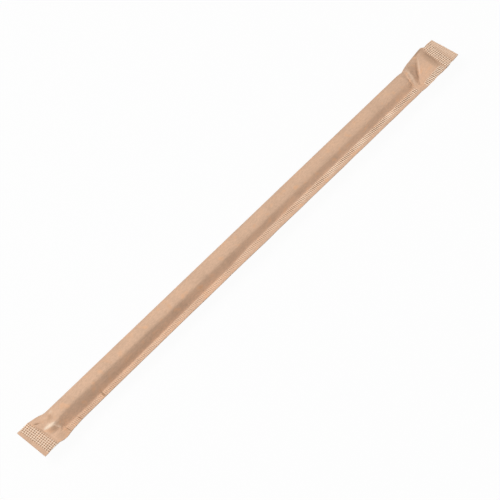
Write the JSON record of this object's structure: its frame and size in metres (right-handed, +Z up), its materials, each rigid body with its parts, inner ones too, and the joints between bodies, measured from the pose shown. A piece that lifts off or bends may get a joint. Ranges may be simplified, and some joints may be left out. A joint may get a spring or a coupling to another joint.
{
  "type": "wrapped drinking straw",
  "caption": "Drinking straw sealed in a kraft paper sleeve, with a crimped seam along one side and flattened, waffle-crimped seals at both ends.",
  "frame": {"origin": "on the table, under the middle of the pack's bounding box", "axes": "+X along the straw towards the end with the longer gather, +Y towards the sleeve's plain fold, away from the crimped seam, +Z up from the table that the pack lies on"},
  "size_m": [0.2176, 0.0154, 0.008],
  "materials": {
    "kraft_paper": "matt, uncoated"
  },
  "bodies": {
    "root": {"wrapped_straw": "kraft_paper"}
  },
  "joints": []
}
